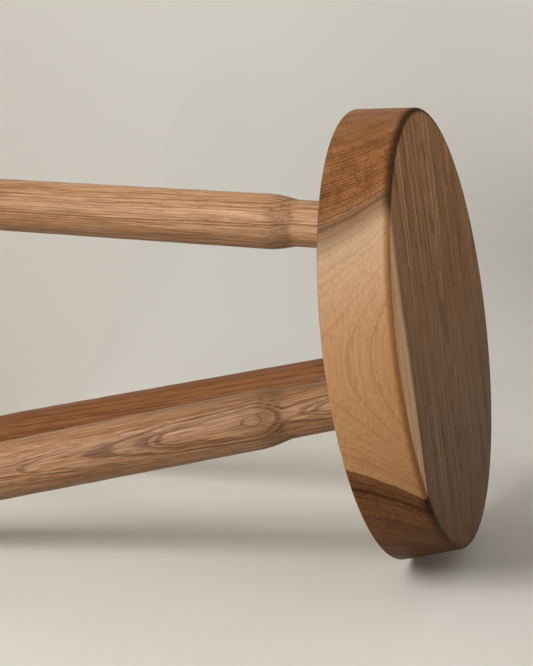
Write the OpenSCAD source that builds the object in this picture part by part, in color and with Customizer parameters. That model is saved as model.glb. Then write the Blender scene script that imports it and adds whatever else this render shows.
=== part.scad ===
// Three-legged milking stool: one thick round seat board on three turned, splayed legs.
// Each leg's neck runs up into a blind mortise and is spread there by a hidden fox wedge.
// The feet stand on z = 0, +Z is up, and the grain of the seat runs along Y.

/* [Overall] */
// Height of the sitting face above the floor
stool_height = 460; // [400:5:520]

/* [Seat] */
// Diameter of the seat at its underside, where it is widest
seat_bottom_d = 300; // [270:1:340]
// Diameter of the seat at its top, where the rim has leaned in
seat_top_d = 289; // [262:1:298]
// Thickness of the seat board
seat_thickness = 41; // [37:1:56]
// Radius of the rounding round the top face
top_edge_r = 2.5; // [1:0.5:8]
// Radius of the rounding round the underside
bottom_edge_r = 1.5; // [0.5:0.5:6]

/* [Legs] */
// Diameter of a leg's body
leg_d = 38; // [34:0.5:48]
// Diameter of the neck, which is the tenon as well
neck_d = 31.8; // [26:0.2:36]
// Length of the neck below the seat, before the shoulder starts
neck_length = 54; // [20:1:90]
// Length of the rounded shoulder between neck and body
shoulder_length = 21; // [8:1:40]
// Diameter of a leg at its sole
foot_d = 33; // [30:0.5:37.5]
// Length over which the leg narrows towards its sole
foot_length = 60; // [40:1:100]
// Lean of each leg away from upright, in degrees
splay = 10.8; // [6:0.1:14]
// Distance from the seat's centre to a leg's axis at the underside
leg_ring_r = 71; // [60:1:95]
// Angle between the two rear legs, in degrees
rear_spread = 124; // [110:1:140]

/* [Joints] */
// Depth of a mortise, measured along the leg
mortise_depth = 30; // [22:1:33]
// Gap between the tenon's end and the bottom of its mortise
mortise_gap = 1; // [0.5:0.5:3]
// Length of a fox wedge
wedge_length = 22; // [16:1:26]
// Width of a fox wedge
wedge_w = 28; // [18:1:30]
// Thickness of a fox wedge at its blunt end
wedge_blunt_t = 4; // [3:0.25:6]
// Thickness of a fox wedge at its thin end
wedge_thin_t = 1; // [0.5:0.25:2.5]

/* [Hidden] */
$fn = 96;

front_azimuth = -90;
right_azimuth = 90 - rear_spread / 2;
left_azimuth = 90 + rear_spread / 2;
azimuths = [front_azimuth, right_azimuth, left_azimuth];

underside_z = stool_height - seat_thickness;
neck_r = neck_d / 2;
leg_r = leg_d / 2;
foot_r = foot_d / 2;
shoulder_start = neck_length;
shoulder_end = neck_length + shoulder_length;
shoulder_steps = 10;

// The axis meets the floor at sole_s; distances s run down the leg from the underside.
sole_s = underside_z / cos(splay);
foot_start = sole_s - foot_length;
foot_steps = 12;
foot_slope = 2 * (leg_r - foot_r) / foot_length;
sawn_off = 12;
overcut = 6;

// Outermost point of the front foot, where the leg's outer side is sawn at the floor.
reach_s = (underside_z + (foot_r + foot_slope * sole_s) * sin(splay))
    / (cos(splay) + foot_slope * sin(splay));
front_reach = leg_ring_r + reach_s * sin(splay)
    + (foot_r - foot_slope * (reach_s - sole_s)) * cos(splay);

// The seat's centre stands this far along Y, which centres the whole stool on the origin.
seat_y = (front_reach - seat_bottom_d / 2) / 2;

// Radius of the leg on its rounded shoulder and on its narrowing foot.
function shoulder_radius(s) =
    neck_r + (leg_r - neck_r) * sin(90 * (s - shoulder_start) / shoulder_length);
function foot_radius(s) = leg_r - (leg_r - foot_r) * pow((s - foot_start) / foot_length, 2);

// Points of a quarter round, from angle a0 to a0 + 90 about a centre.
function quarter_round(centre, radius, a0) =
    [for (i = [0:8]) centre + radius * [cos(a0 + i * 90 / 8), sin(a0 + i * 90 / 8)]];

// Places its children on a leg's axis: the origin is at the underside, +Z runs up the leg.
module on_leg(azimuth) {
    translate([0, seat_y, underside_z])
        rotate([0, 0, azimuth])
            translate([leg_ring_r, 0, 0])
                rotate([0, -splay, 0])
                    children();
}

// The seat board before its mortises are bored, standing on its underside.
module seat_blank() {
    bottom_round = [seat_bottom_d / 2 - bottom_edge_r, bottom_edge_r];
    top_round = [seat_top_d / 2 - top_edge_r, seat_thickness - top_edge_r];
    rotate_extrude()
        polygon(concat(
            [[0, 0]],
            quarter_round(bottom_round, bottom_edge_r, -90),
            quarter_round(top_round, top_edge_r, 0),
            [[0, seat_thickness]]
        ));
}

// The leg as it comes off the lathe, with its tenon up and spare length at the foot.
module leg_blank() {
    rotate_extrude()
        polygon(concat(
            [[0, mortise_depth - mortise_gap], [neck_r, mortise_depth - mortise_gap]],
            [for (i = [0:shoulder_steps])
                let (s = shoulder_start + i * shoulder_length / shoulder_steps)
                [shoulder_radius(s), -s]],
            [for (i = [0:foot_steps])
                let (s = foot_start + i * foot_length / foot_steps)
                [foot_radius(s), -s]],
            [[foot_r - foot_slope * sawn_off, -sole_s - sawn_off], [0, -sole_s - sawn_off]]
        ));
}

// A tapered slip: thin at the bottom, blunt at the top, its width across the seat's grain.
module slip(azimuth, width, rise) {
    grow = (wedge_blunt_t - wedge_thin_t) * (wedge_length + rise) / wedge_length;
    translate([0, 0, mortise_depth - wedge_length])
        rotate([90, 0, 90 - azimuth])
            linear_extrude(width, center = true)
                polygon([
                    [-wedge_thin_t / 2, 0],
                    [wedge_thin_t / 2, 0],
                    [(wedge_thin_t + grow) / 2, wedge_length + rise],
                    [-(wedge_thin_t + grow) / 2, wedge_length + rise],
                ]);
}

module seat() {
    color([0.42, 0.29, 0.20])
        difference() {
            translate([0, seat_y, underside_z]) seat_blank();
            for (azimuth = azimuths)
                on_leg(azimuth)
                    translate([0, 0, -overcut])
                        cylinder(r = neck_r, h = mortise_depth + overcut);
        }
}

module leg(azimuth) {
    floor_size = 4 * stool_height;
    color([0.46, 0.31, 0.20])
        difference() {
            on_leg(azimuth)
                difference() {
                    leg_blank();
                    slip(azimuth, neck_d + overcut, overcut);
                }
            translate([-floor_size / 2, -floor_size / 2, -floor_size])
                cube(floor_size);
        }
}

module wedge(azimuth) {
    color([0.72, 0.56, 0.38])
        on_leg(azimuth) slip(azimuth, wedge_w, 0);
}

seat();
leg(front_azimuth);  // leg_front
leg(left_azimuth);  // leg_left
leg(right_azimuth);  // leg_right
wedge(front_azimuth);  // wedge_front
wedge(left_azimuth);  // wedge_left
wedge(right_azimuth);  // wedge_right
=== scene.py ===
"""Walnut milking stool: a round seat board on three turned legs, finished for show."""
import math

import bmesh
import bpy
from mathutils import Matrix, Vector


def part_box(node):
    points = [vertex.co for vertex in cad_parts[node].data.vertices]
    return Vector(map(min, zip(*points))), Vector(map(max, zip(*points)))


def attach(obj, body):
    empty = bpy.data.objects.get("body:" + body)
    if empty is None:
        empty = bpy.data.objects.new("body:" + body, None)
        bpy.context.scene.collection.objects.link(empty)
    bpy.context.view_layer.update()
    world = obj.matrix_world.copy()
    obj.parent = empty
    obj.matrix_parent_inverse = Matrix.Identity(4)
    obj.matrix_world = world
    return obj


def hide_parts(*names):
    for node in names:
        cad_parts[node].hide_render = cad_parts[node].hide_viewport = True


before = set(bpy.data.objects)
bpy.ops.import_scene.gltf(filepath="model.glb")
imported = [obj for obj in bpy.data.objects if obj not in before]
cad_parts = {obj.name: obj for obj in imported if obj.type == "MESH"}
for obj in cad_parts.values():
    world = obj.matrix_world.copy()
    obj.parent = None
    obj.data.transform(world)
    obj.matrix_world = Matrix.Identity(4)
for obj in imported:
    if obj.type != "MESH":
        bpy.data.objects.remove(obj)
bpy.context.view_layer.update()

# Sizes of the stool, as the joiner would mark them out: metres, with the splay in radians and
# the legs' azimuths in degrees.
SEAT_LOW, SEAT_HIGH = (Vector(corner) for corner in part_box("seat"))
SEAT_CENTRE = (SEAT_LOW + SEAT_HIGH) / 2
UNDERSIDE_Z = SEAT_LOW.z
SEAT_TOP_Z = SEAT_HIGH.z
SEAT_RADIUS = 0.150
SEAT_TOP_RADIUS = 0.1445
TOP_ROUNDING = 0.0025
BOTTOM_ROUNDING = 0.0015
FACE_RINGS = 7
FACE_RING_WIDTH = 0.018

SPLAY = math.radians(10.8)
LEG_RING = 0.071
LEG_AZIMUTHS = {"front": -90.0, "right": 28.0, "left": 152.0}
LEG_RADIUS = 0.019
NECK_RADIUS = 0.0159
FOOT_RADIUS = 0.0165
NECK_LENGTH = 0.054
SHOULDER_LENGTH = 0.021
FOOT_LENGTH = 0.060
LEG_LENGTH = UNDERSIDE_Z / math.cos(SPLAY)
SAWN_OFF = 0.012
SOLE_RING_WIDTH = 0.004
SOLE_EASING = 0.0008

MORTISE_DEPTH = 0.030
BORE_OVERCUT = 0.006
BORE_AIR = 0.00008
TENON_LENGTH = 0.029
TENON_CHAMFER = 0.001
WEDGE_LENGTH = 0.022
WEDGE_BLUNT = 0.004
WEDGE_THIN = 0.001
SLOT_WIDTH = 0.040
SLOT_SPARE = 0.004


# --- Bench helpers -----------------------------------------------------------------

def clear_selection():
    """Lets go of everything, so that the next tool acts on its own piece only."""
    for thing in bpy.context.selected_objects:
        thing.select_set(False)


def name_piece(name):
    piece = bpy.context.active_object
    piece.name = name
    piece.data.name = name
    return piece


def edit_mesh(piece):
    bpy.context.view_layer.objects.active = piece
    bpy.ops.object.mode_set(mode="EDIT")
    return bmesh.from_edit_mesh(piece.data)


def pick(piece, faces=None, edges=None, corners=None):
    """Selects the faces, edges or corners of the piece, in edit mode, that the test accepts."""
    mesh = bmesh.from_edit_mesh(piece.data)
    bpy.ops.mesh.select_all(action="DESELECT")
    if faces:
        bpy.ops.mesh.select_mode(type="FACE")
        for face in mesh.faces:
            if faces(face):
                face.select_set(True)
    if edges:
        bpy.ops.mesh.select_mode(type="EDGE")
        for edge in mesh.edges:
            if edges(edge):
                edge.select_set(True)
    if corners:
        bpy.ops.mesh.select_mode(type="VERT")
        for corner in mesh.verts:
            if corners(corner):
                corner.select_set(True)
    bmesh.update_edit_mesh(piece.data)


def leave_edit():
    bpy.ops.mesh.select_all(action="SELECT")
    bpy.ops.mesh.remove_doubles(threshold=1e-6)
    bpy.ops.mesh.normals_make_consistent(inside=False)
    bpy.ops.object.mode_set(mode="OBJECT")


def cut_away(piece, cutter):
    """Bores or saws the cutter's shape out of the piece."""
    bpy.context.view_layer.objects.active = piece
    saw = piece.modifiers.new("saw", "BOOLEAN")
    saw.operation = "DIFFERENCE"
    saw.solver = "EXACT"
    saw.object = cutter
    bpy.ops.object.modifier_apply(modifier=saw.name)
    bpy.data.objects.remove(cutter, do_unlink=True)


def on_leg(piece, azimuth):
    """Sets a piece made upright round the origin onto a leg's axis, at the underside."""
    turn = Matrix.Rotation(math.radians(azimuth), 4, "Z")
    lean = Matrix.Rotation(-SPLAY, 4, "Y")
    home = Matrix.Translation((SEAT_CENTRE.x, SEAT_CENTRE.y, UNDERSIDE_Z))
    piece.matrix_world = home @ turn @ Matrix.Translation((LEG_RING, 0, 0)) @ lean
    clear_selection()
    piece.select_set(True)
    bpy.context.view_layer.objects.active = piece
    bpy.ops.object.transform_apply(location=True, rotation=True, scale=True)


def smooth(piece, angle=40):
    clear_selection()
    piece.select_set(True)
    bpy.context.view_layer.objects.active = piece
    bpy.ops.object.shade_smooth_by_angle(angle=math.radians(angle))


# --- Seat board --------------------------------------------------------------------

def turn_seat_board():
    """Turns the round board: leaning rim, rounded edges, ringed faces with small middles."""
    clear_selection()
    thickness = SEAT_TOP_Z - UNDERSIDE_Z
    bpy.ops.mesh.primitive_cylinder_add(
        vertices=256, radius=SEAT_RADIUS, depth=thickness, location=SEAT_CENTRE)
    board = name_piece("seat_board")
    bpy.ops.object.transform_apply(location=True, rotation=True, scale=True)
    edit_mesh(board)

    pick(board, faces=lambda face: face.normal.z > 0.9)
    lean = SEAT_TOP_RADIUS / SEAT_RADIUS
    bpy.ops.transform.resize(value=(lean, lean, 1), center_override=SEAT_CENTRE)

    def is_rim(edge, z):
        ends = edge.verts
        return all(abs(v.co.z - z) < 1e-5 for v in ends) and edge.calc_face_angle(0) > 1

    pick(board, edges=lambda edge: is_rim(edge, SEAT_TOP_Z))
    bpy.ops.mesh.bevel(offset=TOP_ROUNDING, segments=6, profile=0.5)
    pick(board, edges=lambda edge: is_rim(edge, UNDERSIDE_Z))
    bpy.ops.mesh.bevel(offset=BOTTOM_ROUNDING, segments=4, profile=0.5)

    for side in (1, -1):
        pick(board, faces=lambda face: face.normal.z * side > 0.999)
        for ring in range(FACE_RINGS):
            bpy.ops.mesh.inset(thickness=FACE_RING_WIDTH)
        bpy.ops.mesh.poke()
    leave_edit()
    return board


def mortise_bit(azimuth):
    """The shape that one angled bore takes out of the board."""
    clear_selection()
    bpy.ops.mesh.primitive_cylinder_add(
        vertices=96, radius=NECK_RADIUS + BORE_AIR, depth=MORTISE_DEPTH + BORE_OVERCUT,
        location=(0, 0, (MORTISE_DEPTH - BORE_OVERCUT) / 2))
    bit = name_piece("mortise_bit")
    on_leg(bit, azimuth)
    return bit


def make_seat():
    board = turn_seat_board()
    for azimuth in LEG_AZIMUTHS.values():
        cut_away(board, mortise_bit(azimuth))
    smooth(board, 35)
    return board


# --- Legs --------------------------------------------------------------------------

def tool_marks(s):
    """The faint waver that hand turning leaves along a leg."""
    return 0.00006 * math.sin(s * 210) + 0.00005 * math.sin(s * 97 + 1.3)


def leg_radius(s):
    """Radius of a leg at distance s down its axis from the seat's underside."""
    shoulder = (s - NECK_LENGTH) / SHOULDER_LENGTH
    if shoulder <= 0:
        return NECK_RADIUS
    if shoulder < 1:
        swell = math.sin(math.pi / 2 * shoulder)
        return NECK_RADIUS + (LEG_RADIUS - NECK_RADIUS) * swell
    foot = max(0.0, (s - LEG_LENGTH + FOOT_LENGTH) / FOOT_LENGTH)
    taper = (LEG_RADIUS - FOOT_RADIUS) * foot * foot
    return LEG_RADIUS - taper + tool_marks(s) * min(1.0, (shoulder - 1) * 2)


def leg_stations():
    """Distances down the leg where the lathe profile gets a ring, closest at the shoulder."""
    neck = [-TENON_LENGTH + TENON_CHAMFER, -0.012, 0.002, 0.018, 0.034, 0.048]
    shoulder = [NECK_LENGTH - 0.001 + (SHOULDER_LENGTH + 0.003) * i / 16 for i in range(17)]
    body_start = shoulder[-1] + 0.004
    body_end = LEG_LENGTH + SAWN_OFF
    steps = 72
    body = [body_start + (body_end - body_start) * i / steps for i in range(steps + 1)]
    return neck + shoulder + body


def turn_leg(name):
    """Turns one leg, upright, by drawing a ring down the lathe profile from the tenon's end."""
    clear_selection()
    radius = NECK_RADIUS - TENON_CHAMFER
    depth = -TENON_LENGTH
    bpy.ops.mesh.primitive_circle_add(
        vertices=96, radius=radius, fill_type="NGON", location=(0, 0, TENON_LENGTH))
    leg = name_piece(name)
    bpy.ops.object.transform_apply(location=True, rotation=True, scale=True)
    edit_mesh(leg)
    bpy.ops.mesh.select_all(action="SELECT")
    for s in leg_stations():
        bpy.ops.mesh.extrude_region_move(
            TRANSFORM_OT_translate={"value": (0, 0, depth - s)})
        grow = leg_radius(s) / radius
        bpy.ops.transform.resize(value=(grow, grow, 1), center_override=(0, 0, -s))
        radius, depth = leg_radius(s), s
    leave_edit()
    return leg


def wedge_slot(azimuth):
    """The tapered saw kerf that the fox wedge spreads open in the tenon."""
    clear_selection()
    bpy.ops.mesh.primitive_cube_add(
        size=1, location=(0, 0, MORTISE_DEPTH - (WEDGE_LENGTH - SLOT_SPARE) / 2))
    slot = name_piece("wedge_slot")
    slot.scale = (SLOT_WIDTH, WEDGE_THIN, WEDGE_LENGTH + SLOT_SPARE)
    bpy.ops.object.transform_apply(location=True, rotation=True, scale=True)
    edit_mesh(slot)
    pick(slot, faces=lambda face: face.normal.z > 0.9)
    taper = (WEDGE_BLUNT - WEDGE_THIN) / WEDGE_LENGTH
    spread = taper * (WEDGE_LENGTH + SLOT_SPARE) + WEDGE_THIN
    bpy.ops.transform.resize(value=(1, spread / WEDGE_THIN, 1), center_override=(0, 0, 0))
    leave_edit()
    clear_selection()
    slot.select_set(True)
    slot.rotation_euler.z = math.radians(-azimuth)
    bpy.ops.object.transform_apply(location=True, rotation=True, scale=True)
    return slot


def saw_sole(leg):
    """Saws the standing leg level at the floor, eases the sawn edge and planes it flat."""
    edit_mesh(leg)
    bpy.ops.mesh.select_all(action="SELECT")
    bpy.ops.mesh.bisect(
        plane_co=(0, 0, 0), plane_no=(0, 0, 1), use_fill=True, clear_inner=True)
    pick(leg, faces=lambda face: face.normal.z < -0.99 and abs(face.calc_center_median().z) < 1e-4)
    bpy.ops.mesh.inset(thickness=SOLE_RING_WIDTH)
    pick(leg, edges=lambda edge: all(abs(v.co.z) < 1e-6 for v in edge.verts)
         and edge.calc_face_angle(0) > 0.8)
    bpy.ops.mesh.bevel(offset=SOLE_EASING, segments=3, profile=0.5)
    pick(leg, corners=lambda corner: corner.co.z < 1e-5)
    bpy.ops.transform.resize(value=(1, 1, 0), center_override=(0, 0, 0))
    leave_edit()


def make_leg(side, azimuth):
    leg = turn_leg("turned_leg_" + side)
    cut_away(leg, wedge_slot(azimuth))
    on_leg(leg, azimuth)
    saw_sole(leg)
    smooth(leg, 40)
    return leg


# --- Wood ---------------------------------------------------------------------------

MM = 0.001
OPEN_GLOSS = 0.30
HAIR_SPACING = 1.5
LINE_END = 0.95


class Wood:
    """A small bench for finishes: makes a material's nodes and joins them up."""

    def __init__(self, name):
        self.material = bpy.data.materials.new(name)
        self.material.use_nodes = True
        self.tree = self.material.node_tree
        self.tree.nodes.clear()
        self.count = 0

    def add(self, kind, **settings):
        made = self.tree.nodes.new(kind)
        made.location = (180 * (self.count % 12), -260 * (self.count // 12))
        self.count += 1
        for key, value in settings.items():
            setattr(made, key, value)
        return made

    def feed(self, socket, value):
        if isinstance(value, bpy.types.NodeSocket):
            self.tree.links.new(value, socket)
        else:
            socket.default_value = value

    def math(self, operation, first, second=0.0, third=0.0):
        made = self.add("ShaderNodeMath", operation=operation)
        for socket, value in zip(made.inputs, (first, second, third)):
            self.feed(socket, value)
        return made.outputs[0]

    def sway(self, base, layer, depth):
        """Moves the base up and down by a layer that varies round one half."""
        return self.math("MULTIPLY_ADD", self.math("SUBTRACT", layer, 0.5), depth, base)

    def stretch(self, vector, scale, shift=(0, 0, 0)):
        made = self.add("ShaderNodeMapping", vector_type="POINT")
        self.feed(made.inputs["Vector"], vector)
        made.inputs["Scale"].default_value = scale
        made.inputs["Location"].default_value = shift
        return made.outputs[0]

    def noise(self, vector, detail=2.0, roughness=0.5):
        made = self.add("ShaderNodeTexNoise")
        self.feed(made.inputs["Vector"], vector)
        made.inputs["Scale"].default_value = 1.0
        made.inputs["Detail"].default_value = detail
        made.inputs["Roughness"].default_value = roughness
        return made.outputs["Fac"]

    def luck(self, number):
        """A chance value from 0 to 1, the same for the same whole number."""
        made = self.add("ShaderNodeTexWhiteNoise", noise_dimensions="1D")
        self.feed(made.inputs["W"], number)
        return made.outputs["Value"]

    def ease(self, value, low, high, out_low=0.0, out_high=1.0):
        """Smooth step of value from low..high to out_low..out_high."""
        made = self.add("ShaderNodeMapRange", interpolation_type="SMOOTHSTEP")
        for socket, item in zip(made.inputs, (value, low, high, out_low, out_high)):
            self.feed(socket, item)
        return made.outputs["Result"]

    def ramp(self, value, *stops):
        made = self.add("ShaderNodeValToRGB")
        points = made.color_ramp.elements
        while len(points) < len(stops):
            points.new(0.5)
        for point, (position, level) in zip(points, stops):
            point.position = position
            point.color = (level, level, level, 1)
        self.feed(made.inputs[0], value)
        return made.outputs[0]

    def blend(self, factor, first, second, kind="MIX"):
        made = self.add("ShaderNodeMix", data_type="RGBA", blend_type=kind)
        colours = [s for s in made.inputs if s.type == "RGBA"]
        self.feed(made.inputs["Factor"], factor)
        self.feed(colours[0], first)
        self.feed(colours[1], second)
        return next(s for s in made.outputs if s.type == "RGBA")

    def stain(self, body, mark, depth, colour):
        """Works a colour into the body where the mark is, depth strong."""
        return self.blend(self.math("MULTIPLY", mark, depth), body, colour)

    def tint(self, body, where, colour):
        """Deepens or lightens the body by a colour, where asked."""
        return self.blend(where, body, self.blend(1.0, body, colour, "MULTIPLY"))


def grain_turn(grain, out):
    """Euler turn of a wood frame: its Z runs along the grain, its X away from the pith."""
    z = Vector(grain).normalized()
    y = z.cross(Vector(out)).normalized()
    x = y.cross(z)
    return Matrix((x, y, z)).transposed().to_euler()


def log_frame(wood, pith, grain, out):
    """Places in the log, in millimetres from a point of its pith, with Z along the grain."""
    frame_map = wood.add("ShaderNodeMapping", vector_type="TEXTURE")
    wood.feed(frame_map.inputs["Vector"], wood.add("ShaderNodeTexCoord").outputs["Object"])
    frame_map.inputs["Location"].default_value = pith
    frame_map.inputs["Rotation"].default_value = grain_turn(grain, out)
    frame_map.inputs["Scale"].default_value = (MM, MM, MM)
    return frame_map.outputs[0]


def growth_rings(wood, log, ring, waver, seed, line_width):
    """Rings round the pith, bent by slow and quick wavers, each year ending in a dark line."""
    parts = wood.add("ShaderNodeSeparateXYZ")
    wood.feed(parts.inputs[0], log)
    across, side, along = parts.outputs
    reach = wood.math("SQRT", wood.math(
        "ADD", wood.math("MULTIPLY", across, across), wood.math("MULTIPLY", side, side)))
    slow = wood.noise(wood.stretch(log, (1 / 45, 1 / 45, 1 / 150), (seed, 0, 0)), 1.0)
    quick = wood.noise(wood.stretch(log, (1 / 9, 1 / 9, 1 / 70), (0, seed, 0)), 2.0)
    bent = wood.sway(wood.sway(reach, slow, waver * 2), quick, 1.1)

    pace = wood.add("ShaderNodeTexNoise", noise_dimensions="1D")
    wood.feed(pace.inputs["W"], wood.math("MULTIPLY_ADD", bent, 0.09, seed))
    pace.inputs["Detail"].default_value = 1.0
    count = wood.math("MULTIPLY_ADD", pace.outputs["Fac"], 2.4, wood.math("DIVIDE", bent, ring))
    season = wood.math("FRACT", count)
    strength = wood.luck(wood.math("ADD", wood.math("FLOOR", count), seed))
    late = wood.ramp(season, (0.0, 0.55), (0.07, 0.0), (LINE_END - line_width, 0.05),
                     (LINE_END - line_width * 0.45, 0.35), (0.90, 1.0), (1.0, 0.75))
    line = wood.math("MULTIPLY", late, wood.ease(strength, 0.0, 1.0, 0.45, 1.0))
    return {"along": along, "bent": bent, "season": season, "line": line}


def fibres(wood, log, season, seed, fibre_length):
    """Long streaks at three widths, and pores as short dashes along the grain."""
    broad = wood.noise(wood.stretch(log, (1 / 12, 1 / 12, 1 / 260), (seed, seed, 0)), 2.0, 0.6)
    streak = wood.noise(wood.stretch(log, (1 / 1.8, 1 / 1.8, 1 / (fibre_length * 3))), 2.0, 0.6)
    fibre = wood.noise(wood.stretch(log, (1 / 0.60, 1 / 0.60, 1 / fibre_length)), 1.0, 0.6)
    cells = wood.add("ShaderNodeTexVoronoi", voronoi_dimensions="3D", feature="F1")
    wood.feed(cells.inputs["Vector"], wood.stretch(log, (1 / 1.3, 1 / 1.3, 1 / 11)))
    cells.inputs["Scale"].default_value = 1.0
    cells.inputs["Randomness"].default_value = 1.0
    size = wood.ease(season, 0.0, 0.75, 0.34, 0.20)
    pore = wood.ease(cells.outputs["Distance"], wood.math("MULTIPLY", size, 0.5), size, 1.0, 0.0)
    return {"broad": broad, "streak": streak, "fibre": fibre, "pore": pore}


def hair_lines(wood, marks, hair_depth):
    """Closely set lines within each year, some strong and some faint."""
    count = wood.sway(wood.math("DIVIDE", marks["bent"], HAIR_SPACING), marks["streak"], 0.9)
    crest = wood.ease(wood.math("PINGPONG", count, 0.5), 0.22, 0.46)
    favour = wood.luck(wood.math("FLOOR", count))
    return wood.math("MULTIPLY", crest, wood.ease(
        favour, 0.1, 1.0, 0.1 * hair_depth, hair_depth))


def heartwood(wood, tones, marks, mottle, line_depth):
    """Dark to heart to pale by the fibres, then ring lines, then pores."""
    dark, heart, pale = tones
    tone = 0.5
    for layer, depth in zip(("broad", "streak", "fibre"), mottle):
        tone = wood.sway(tone, marks[layer], depth)
    tone = wood.math("MULTIPLY_ADD", marks["line"], -0.30 * line_depth, tone)
    body = wood.blend(wood.ease(tone, 0.34, 0.80), heart, pale)
    body = wood.blend(wood.ease(tone, 0.50, 0.02), body, dark)
    body = wood.stain(body, marks["line"], line_depth, dark)
    return wood.stain(body, marks["pore"], 0.45, dark)


def oil(wood, body, gloss, marks):
    """Oils the surface: pores sunk, fibres a little proud, open streaks duller."""
    height = wood.math("MULTIPLY_ADD", marks["fibre"], 0.30,
                       wood.math("MULTIPLY", marks["pore"], -1.0))
    height = wood.math("MULTIPLY_ADD", marks["line"], 0.15, height)
    bump = wood.add("ShaderNodeBump")
    bump.inputs["Strength"].default_value = 0.4
    bump.inputs["Distance"].default_value = 0.00015
    wood.feed(bump.inputs["Height"], height)
    rough = wood.math("MULTIPLY_ADD", marks["streak"], 0.16, 0.40)
    rough = wood.math("MULTIPLY_ADD", marks["pore"], 0.20, rough)

    shader = wood.add("ShaderNodeBsdfPrincipled")
    wood.feed(shader.inputs["Base Color"], body)
    wood.feed(shader.inputs["Roughness"], rough)
    wood.feed(shader.inputs["Normal"], bump.outputs[0])
    shader.inputs["IOR"].default_value = 1.45
    wood.feed(shader.inputs["Specular IOR Level"], gloss)
    output = wood.add("ShaderNodeOutputMaterial")
    wood.feed(output.inputs["Surface"], shader.outputs[0])
    return wood.material


def walnut(name, pith, grain, out, tones, ring=3.6, waver=2.2, seed=0.0, line_depth=0.8,
           line_width=0.45, mottle=(1.0, 0.9, 0.8), fibre_length=26, hair_depth=0.35,
           local_touch=None):
    """Oiled walnut, cut from a log whose pith passes through one point along the grain.

    Ring widths and fibre lengths are in millimetres. A local touch may add the piece's own
    marks, and gives the gloss.
    """
    wood = Wood(name)
    log = log_frame(wood, pith, grain, out)
    marks = growth_rings(wood, log, ring, waver, seed, line_width)
    marks.update(fibres(wood, log, marks["season"], seed, fibre_length))
    marks["line"] = wood.math("MAXIMUM", marks["line"], hair_lines(wood, marks, hair_depth))
    body = heartwood(wood, tones, marks, mottle, line_depth)
    gloss = OPEN_GLOSS
    if local_touch:
        body, gloss = local_touch(wood, body, marks)
    return oil(wood, body, gloss, marks)


# Linear colours of the oiled woods, each as dark lines, heartwood, pale streaks.
SEAT_TONES = ((0.040, 0.013, 0.004, 1), (0.135, 0.053, 0.016, 1), (0.215, 0.093, 0.034, 1))
FACE_TONES = ((0.048, 0.022, 0.009, 1), (0.170, 0.083, 0.036, 1), (0.285, 0.158, 0.078, 1))
LEG_TONES = ((0.085, 0.036, 0.015, 1), (0.255, 0.128, 0.062, 1), (0.415, 0.262, 0.156, 1))
# The near and far legs' tones are darker copies of the leg tones: painted shade for legs that get
# less light.
NEAR_LEG_SHADED_TONES = ((0.050, 0.021, 0.009, 1), (0.185, 0.087, 0.039, 1), (0.325, 0.195, 0.112, 1))
FAR_LEG_SHADED_TONES = ((0.055, 0.018, 0.007, 1), (0.155, 0.058, 0.020, 1), (0.240, 0.104, 0.040, 1))
WEDGE_TONES = ((0.36, 0.22, 0.11, 1), (0.46, 0.31, 0.17, 1), (0.56, 0.40, 0.24, 1))

# The seat's sapwood, its border, the painted shade on its upper edge and towards its +Y end, and
# where its log's pith ran.
CREAM = (0.318, 0.222, 0.142, 1)
CREAM_SHADE = (0.215, 0.128, 0.068, 1)
AMBER = (0.285, 0.152, 0.068, 1)
AMBER_SHADE = (0.175, 0.068, 0.022, 1)
TURNING_TO_SAP = (0.165, 0.103, 0.063, 1)
FACE_SAP = (0.400, 0.250, 0.140, 1)
FACE_SAP_SHADE = (0.280, 0.160, 0.080, 1)
# Painted shade for the rounded upper edge of the seat, on heartwood and on sapwood.
EDGE_SHADE_HEART = (0.017, 0.008, 0.0035, 1)
EDGE_SHADE_SAP = (0.170, 0.070, 0.020, 1)
# Painted shade for the seat's +Y end, which lies on the paper when the stool is laid down.
FAR_END_SHADE = (0.56, 0.52, 0.46, 1)
NECK_TINT = (1.16, 1.16, 1.16, 1)
SEAT_PITH = (0.006, SEAT_CENTRE.y, UNDERSIDE_Z - 0.0373)
SEAT_GRAIN = (0, 1, -0.05)
SAP_STARTS = 135.8


def face_streaks(wood, spot, marks):
    """Long straight streaks on the face, where the fibres run nearly level with it."""
    thread = wood.noise(wood.stretch(spot, (1 / (1.0 * MM), 1 / (130 * MM), 0)), 2.0, 0.6)
    ribbon = wood.noise(
        wood.stretch(spot, (1 / (4.5 * MM), 1 / (260 * MM), 0), (3, 0, 0)), 2.0, 0.6)
    fine = wood.sway(0.5, thread, 2.6)
    fine = wood.sway(fine, ribbon, 1.3)
    return wood.sway(fine, marks["fibre"], 1.2)


def face_heartwood(wood, fine, marks):
    dark, heart, pale = FACE_TONES
    body = wood.blend(wood.ease(fine, 0.38, 0.95), heart, pale)
    body = wood.blend(wood.ease(fine, 0.45, 0.0), body, dark)
    body = wood.stain(body, marks["line"], 0.70, dark)
    return wood.stain(body, marks["pore"], 0.55, dark)


def sapwood(wood, y, on_face, fine, marks):
    """Cream to amber along the rim, and a plainer pale strip on the face."""
    warm = wood.ease(y, -0.075, 0.005)
    cream = wood.blend(warm, CREAM, AMBER)
    shade = wood.blend(warm, CREAM_SHADE, AMBER_SHADE)
    soft = wood.sway(wood.sway(0.5, marks["fibre"], 3.0), marks["streak"], 2.2)
    rim = wood.blend(wood.ease(soft, 0.9, 0.1, 0.0, 0.32), cream, shade)
    rim = wood.stain(rim, marks["line"], 0.60, shade)
    rim = wood.stain(rim, marks["pore"], 0.35, shade)
    face = wood.blend(wood.ease(fine, 0.75, 0.25), FACE_SAP, FACE_SAP_SHADE)
    return wood.blend(on_face, rim, face)


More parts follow.
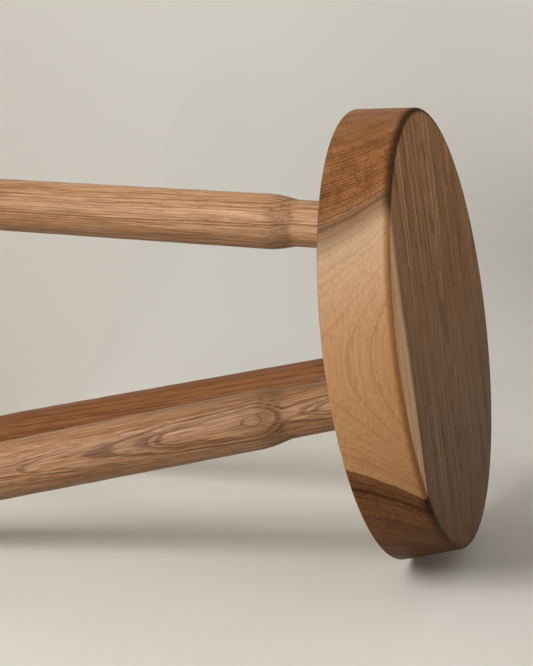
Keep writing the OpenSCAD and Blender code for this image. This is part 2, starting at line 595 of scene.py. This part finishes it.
def sap_border(wood, x, y, marks):
    """How far a place has turned towards sapwood, and how far it is sapwood outright.

    The border follows one ring, on the bark side only: blurred towards -Y, crisp towards +Y.
    """
    past = wood.math("SUBTRACT", marks["bent"], SAP_STARTS)
    blur = wood.ease(y, -0.060, -0.020, 1.0, 0.0)
    greying = wood.ease(past, wood.math("MULTIPLY_ADD", blur, -13.0, -0.5), 0.0)
    full = wood.ease(past, wood.math("MULTIPLY_ADD", blur, -3.5, -0.5),
                     wood.math("MULTIPLY_ADD", blur, 3.5, 0.5))
    bark_side = wood.ease(x, 0.0, 0.04)
    greying = wood.math("MULTIPLY", greying, bark_side)
    greying = wood.math("MULTIPLY", greying, wood.math("MULTIPLY", blur, 0.9))
    return greying, wood.math("MULTIPLY", full, bark_side)


def upper_edge_shade(wood, x, y, z, full, marks):
    """How strongly the rounded upper edge is painted dark, as painted shade: a wide band on
    heartwood, narrow on sapwood.
    """
    flat = wood.add("ShaderNodeCombineXYZ")
    wood.feed(flat.inputs[0], wood.math("SUBTRACT", x, SEAT_CENTRE.x))
    wood.feed(flat.inputs[1], wood.math("SUBTRACT", y, SEAT_CENTRE.y))
    length = wood.add("ShaderNodeVectorMath", operation="LENGTH")
    wood.feed(length.inputs[0], flat.outputs[0])
    outer = wood.ease(length.outputs["Value"], SEAT_TOP_RADIUS - 0.0045, SEAT_TOP_RADIUS - 0.0015)
    ragged = wood.sway(z, marks["fibre"], 0.004)
    wide = wood.math("MULTIPLY", outer, wood.ease(ragged, SEAT_TOP_Z - 0.0056, SEAT_TOP_Z - 0.0008))
    wide = wood.math("MULTIPLY", wide, wood.ease(y, 0.09, 0.13, 1.0, 0.40))
    narrow = wood.math(
        "MULTIPLY", outer, wood.ease(ragged, SEAT_TOP_Z - 0.0040, SEAT_TOP_Z - 0.0012))
    return wood.math("ADD", wood.math("MULTIPLY", wide, wood.math("SUBTRACT", 1.0, full)),
                     wood.math("MULTIPLY", narrow, full))


def seat_touches(wood, rim_heart, marks):
    """The seat's own marks: a duller top face, a band of sapwood, painted shade towards the +Y end,
    and a band of painted shade on the upper edge.
    """
    spot = wood.add("ShaderNodeTexCoord").outputs["Object"]
    here = wood.add("ShaderNodeSeparateXYZ")
    wood.feed(here.inputs[0], spot)
    x, y, z = here.outputs
    on_face = wood.ease(z, SEAT_TOP_Z - 0.0009, SEAT_TOP_Z - 0.0002)
    fine = face_streaks(wood, spot, marks)
    body = wood.blend(on_face, rim_heart, face_heartwood(wood, fine, marks))
    # Painted shade: darker towards +Y, where the laid-down seat meets the paper, more on the face
    # than on the rim.
    far_end_shade = wood.math("MULTIPLY", wood.ease(y, -0.09, 0.12),
                        wood.math("MULTIPLY_ADD", on_face, 0.28, 0.72))
    body = wood.tint(body, far_end_shade, FAR_END_SHADE)

    greying, full = sap_border(wood, x, y, marks)
    turning = wood.stain(TURNING_TO_SAP, marks["line"], 0.45, rim_heart)
    body = wood.blend(greying, body, turning)
    body = wood.blend(full, body, sapwood(wood, y, on_face, fine, marks))

    # Painted shade: the rounded upper edge is painted dark in a band, and made less glossy there.
    edge_shade = upper_edge_shade(wood, x, y, z, full, marks)
    edge = wood.blend(full, EDGE_SHADE_HEART, EDGE_SHADE_SAP)
    gloss = wood.math("MULTIPLY_ADD", edge_shade, -0.08, 0.10)
    return wood.stain(body, edge_shade, 0.88, edge), gloss


def seat_walnut():
    return walnut(
        "walnut_seat_oiled", SEAT_PITH, SEAT_GRAIN, (0, 0, 1), SEAT_TONES,
        ring=2.6, waver=2.0, seed=4.0, line_depth=0.86, line_width=0.22,
        mottle=(0.6, 0.45, 0.50), fibre_length=170, hair_depth=0.80,
        local_touch=seat_touches)


def leg_touches(wood, body, marks):
    """A paler neck, and a darker band where the turned shoulder shows end grain."""
    body = wood.tint(body, wood.ease(marks["along"], -58.0, -46.0), NECK_TINT)
    band = wood.math("MULTIPLY", wood.ease(marks["along"], -76.0, -66.0),
                     wood.ease(marks["along"], -48.0, -60.0))
    return wood.stain(body, band, 0.24, LEG_TONES[0]), 0.16


def leg_walnut(side, azimuth, tones, pith_way, pith_distance, run_out, seed):
    """Walnut for one leg: the pith lies pith_distance away, on the far side from pith_way."""
    turn = Matrix.Rotation(math.radians(azimuth), 3, "Z")
    grain = turn @ Matrix.Rotation(-SPLAY, 3, "Y") @ Vector((0, 0, 1))
    way = Vector(pith_way)
    way = (way - grain * way.dot(grain)).normalized()
    top = Vector((SEAT_CENTRE.x, SEAT_CENTRE.y, UNDERSIDE_Z)) + turn @ Vector((LEG_RING, 0, 0))
    return walnut(
        "walnut_leg_" + side, top - way * pith_distance, grain + way * math.tan(run_out), way,
        tones, ring=3.5, waver=1.6, seed=seed, line_depth=0.80, line_width=0.09,
        mottle=(0.42, 0.42, 0.80), local_touch=leg_touches)


def wedge_wood():
    """Raw split hardwood for the hidden wedges."""
    return walnut(
        "wedge_split_wood", (0, 0, UNDERSIDE_Z - 0.2), (0, 0, 1), (1, 0, 0), WEDGE_TONES,
        ring=2.0, waver=1.0, seed=9.0, line_depth=0.4)


# --- Studio -------------------------------------------------------------------------

PAPER = (0.72, 0.698, 0.645, 1)
FAR_WALL_WASH = (0.56, 0.54, 0.49, 1)
SWEEP_TOP = 5.0
COVE_STEPS = 24
COVE_TIGHT = 0.004
COVE_OPENS_BY = 0.55
PAPER_AIR = 0.0008
STOOL_MIDDLE = Vector((0.0, 0.05, 0.33))


def paper_material(one_sided):
    """Matt seamless paper. One-sided paper can be looked through from behind."""
    paper = Wood("studio_paper_one_sided" if one_sided else "studio_paper")
    shader = paper.add("ShaderNodeBsdfDiffuse")
    shader.inputs["Color"].default_value = PAPER
    surface = shader.outputs[0]
    if one_sided:
        clear = paper.add("ShaderNodeBsdfTransparent")
        side = paper.add("ShaderNodeNewGeometry")
        choice = paper.add("ShaderNodeMixShader")
        paper.feed(choice.inputs[0], side.outputs["Backfacing"])
        paper.feed(choice.inputs[1], surface)
        paper.feed(choice.inputs[2], clear.outputs[0])
        surface = choice.outputs[0]
    output = paper.add("ShaderNodeOutputMaterial")
    paper.feed(output.inputs["Surface"], surface)
    return paper.material


def lay_floor():
    clear_selection()
    bpy.ops.mesh.primitive_plane_add(size=24, location=(0, 0, 0))
    floor = name_piece("studio_floor")
    floor.data.materials.append(paper_material(False))


def rest_plane():
    """Where a sheet touches the seat's rim and the rear feet: its Y at the floor, its lean."""
    widest_z = UNDERSIDE_Z + 0.002
    rim_y = SEAT_CENTRE.y + SEAT_RADIUS
    foot_reach = LEG_RING + UNDERSIDE_Z * math.tan(SPLAY)
    foot_y = SEAT_CENTRE.y + foot_reach * math.sin(math.radians(LEG_AZIMUTHS["right"]))
    foot_y += FOOT_RADIUS + PAPER_AIR
    return foot_y + PAPER_AIR / 2, math.atan((rim_y - foot_y) / widest_z)


def sweep_row(x, foot_y, lean):
    """Points up the paper at one x: the bend at the floor, tight behind the stool, then straight."""
    open_up = min(1.0, max(0.0, (-0.20 - x) / 0.75))
    cove = COVE_TIGHT + COVE_OPENS_BY * open_up * open_up * (3 - 2 * open_up)
    bend = math.pi / 2 - lean
    centre_y = foot_y - cove * math.tan(bend / 2)
    row = []
    for step in range(COVE_STEPS + 1):
        angle = bend * step / COVE_STEPS
        row.append((x, centre_y + cove * math.sin(angle), cove - cove * math.cos(angle)))
    _, bend_y, bend_z = row[-1]
    for step in range(1, 7):
        rise = (SWEEP_TOP - bend_z) * step / 6
        row.append((x, bend_y + rise * math.tan(lean), bend_z + rise))
    return row


def hang_sweep():
    """Hangs paper behind the stool, against its rim and rear feet, bent onto the floor."""
    foot_y, lean = rest_plane()
    columns = [-9.0, -6.0, -4.0, -3.0, -2.4, -2.0, -1.7, -1.4]
    columns += [-1.2 + 0.05 * i for i in range(22)] + [0.0, 0.5, 1.0, 2.0, 4.0]
    rows = [sweep_row(x, foot_y, lean) for x in columns]
    tall = len(rows[0])
    faces = [
        (c * tall + r, (c + 1) * tall + r, (c + 1) * tall + r + 1, c * tall + r + 1)
        for c in range(len(columns) - 1) for r in range(tall - 1)]
    sheet = bpy.data.meshes.new("studio_sweep")
    sheet.from_pydata([point for row in rows for point in row], [], faces)
    sheet.materials.append(paper_material(True))
    sweep = bpy.data.objects.new("studio_sweep", sheet)
    bpy.context.collection.objects.link(sweep)
    if sum(polygon.normal.y for polygon in sheet.polygons) > 0:
        sheet.flip_normals()
    sheet.shade_smooth()


def raise_far_wall():
    """A pale wall all round, far off, that shows past the paper but lights nothing."""
    clear_selection()
    bpy.ops.mesh.primitive_cylinder_add(
        vertices=96, radius=11, depth=16, end_fill_type="NOTHING", location=(0, 0, 4))
    wall = name_piece("far_wall")
    bpy.ops.object.transform_apply(location=True, rotation=True, scale=True)
    edit_mesh(wall)
    bpy.ops.mesh.select_all(action="SELECT")
    bpy.ops.mesh.flip_normals()
    bpy.ops.object.mode_set(mode="OBJECT")
    wash = Wood("far_wall_wash")
    glow = wash.add("ShaderNodeEmission")
    glow.inputs["Color"].default_value = FAR_WALL_WASH
    output = wash.add("ShaderNodeOutputMaterial")
    wash.feed(output.inputs["Surface"], glow.outputs[0])
    wall.data.materials.append(wash.material)
    wall.visible_diffuse = False
    wall.visible_glossy = False
    wall.visible_shadow = False


def soft_light(name, place, aim, size, power, colour):
    lamp = bpy.data.lights.new(name, "AREA")
    lamp.shape = "RECTANGLE"
    lamp.size, lamp.size_y = size
    lamp.energy = power
    lamp.color = colour
    light = bpy.data.objects.new(name, lamp)
    light.location = place
    light.rotation_euler = (Vector(place) - Vector(aim)).to_track_quat("Z", "Y").to_euler()
    light.visible_camera = False
    bpy.context.collection.objects.link(light)
    return light


def even_light(name, way, spread, strength, colour):
    """Broad light that comes from the direction way with the same strength everywhere."""
    lamp = bpy.data.lights.new(name, "SUN")
    lamp.energy = strength
    lamp.angle = spread
    lamp.color = colour
    light = bpy.data.objects.new(name, lamp)
    light.rotation_euler = Vector(way).to_track_quat("Z", "Y").to_euler()
    bpy.context.collection.objects.link(light)
    return light


def only(name, things):
    """A group of objects that a lamp's link names."""
    group = bpy.data.collections.new(name)
    for thing in things:
        group.objects.link(thing)
    return group


def fill_air():
    """Faint even light from all round."""
    world = bpy.data.worlds.new("studio_air")
    world.use_nodes = True
    air = world.node_tree.nodes["Background"]
    air.inputs["Color"].default_value = (0.085, 0.083, 0.080, 1)
    air.inputs["Strength"].default_value = 1.0
    bpy.context.scene.world = world


def window(name, way, distance, size, power, colour, lit, shading):
    """A soft window in the direction way from the stool, for chosen things alone."""
    place = STOOL_MIDDLE + Vector(way).normalized() * distance
    light = soft_light(name, place, STOOL_MIDDLE, size, power, colour)
    light.light_linking.receiver_collection = lit
    light.light_linking.blocker_collection = shading
    return light


def light_studio():
    fill_air()
    shown = [t for t in bpy.context.scene.objects if t.type == "MESH" and not t.hide_render]
    stool = [t for t in shown if not t.name.startswith(("studio_", "far_"))]
    sweep = bpy.data.objects["studio_sweep"]
    above_floor = only("above_floor", [sweep, *stool])
    on_stool = only("on_stool", stool)
    on_sweep = only("on_sweep", [sweep])
    on_paper = only("on_paper", [t for t in shown if t.name.startswith("studio_")])

    # The windows stand low on the laid-down stool's foot side, so their light passes the floor.
    for name, way, power in (("key_window", (0.69, -0.72, -0.32), 10.6),
                             ("key_window_low", (0.85, -0.53, -0.30), 10.6),
                             ("key_window_high", (0.48, -0.83, -0.28), 2.0)):
        window(name, way, 1.7, (0.42, 0.60), power, (1.0, 0.985, 0.97), on_sweep, above_floor)
    for name, way, power in (("stool_key", (0.83, -0.53, -0.30), 24.0),
                             ("stool_fill", (0.97, -0.05, -0.08), 15.5)):
        window(name, way, 1.65, (0.70, 0.55), power, (1.0, 0.98, 0.95), on_stool, above_floor)
    back = window("stool_back", (-0.85, 0.45, 0.14), 1.6, (0.9, 0.7), 11.0, (1.0, 0.97, 0.92),
                  on_stool, on_stool)
    back.visible_glossy = False
    face = soft_light("face_window", (0.1, -0.62, 1.0), (0, 0, 0.46), (0.5, 0.4), 7.1,
                      (1.0, 0.95, 0.87))
    face.light_linking.receiver_collection = on_stool

    # The paper's own even light, and a little more on its near side.
    for name, way, spread, strength in (("floor_glow", (-0.3, 0.10, 0.95), 30, 2.05),
                                        ("far_glow", (-0.9, -0.4, 0.15), 60, 1.05)):
        glow = even_light(name, way, math.radians(spread), strength, (1.0, 0.985, 0.96))
        glow.light_linking.receiver_collection = on_paper
    near = soft_light("near_glow", (-0.6, -0.6, 1.6), (-0.5, -0.4, 0), (1.0, 1.0), 2.7,
                      (1.0, 0.985, 0.96))
    near.light_linking.receiver_collection = on_paper


def set_camera():
    """Looks down on the stool from its right side, rolled so that the stool seems laid down."""
    azimuth, elevation = math.radians(85.28), math.radians(20.15)
    roll = math.radians(83.95)
    distance = 0.8603
    aim = Vector((0, 0, 0.3329))
    back = Vector((math.sin(azimuth) * math.cos(elevation),
                   -math.cos(azimuth) * math.cos(elevation), math.sin(elevation)))
    level_right = Vector((math.cos(azimuth), math.sin(azimuth), 0))
    level_up = back.cross(level_right)
    right = level_right * math.cos(roll) + level_up * math.sin(roll)
    up = back.cross(right)
    camera = bpy.data.objects.new("camera", bpy.data.cameras.new("camera"))
    camera.data.lens = 66.9
    camera.data.sensor_width = 36
    camera.data.clip_start = 0.01
    camera.matrix_world = Matrix.Translation(aim + back * distance) @ Matrix(
        (right, up, back)).transposed().to_4x4()
    bpy.context.collection.objects.link(camera)
    bpy.context.scene.camera = camera
    bpy.context.scene.view_settings.view_transform = "Standard"


# --- The stool ----------------------------------------------------------------------

def dress(piece, node, material):
    piece.data.materials.clear()
    piece.data.materials.append(material)
    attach(piece, "root")
    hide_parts(node)


LEG_CUTS = {
    # side: tones, way the bark side faces, distance of the pith, run-out of the grain, seed
    "right": (NEAR_LEG_SHADED_TONES, (1, -0.1, 0.3), 0.058, math.radians(-1.5), 1.0),
    "left": (FAR_LEG_SHADED_TONES, (0.3, 1, 0), 0.045, math.radians(0.8), 2.0),
    "front": (LEG_TONES, (0.25, -1, 0), 0.050, math.radians(0.5), 3.0),
}


def build_stool():
    dress(make_seat(), "seat", seat_walnut())
    hidden = wedge_wood()
    for side, azimuth in LEG_AZIMUTHS.items():
        leg = make_leg(side, azimuth)
        dress(leg, "leg_" + side, leg_walnut(side, azimuth, *LEG_CUTS[side]))
        wedge = bpy.data.objects["wedge_" + side]
        wedge.data.materials.clear()
        wedge.data.materials.append(hidden)


set_camera()
lay_floor()
hang_sweep()
raise_far_wall()
build_stool()
light_studio()
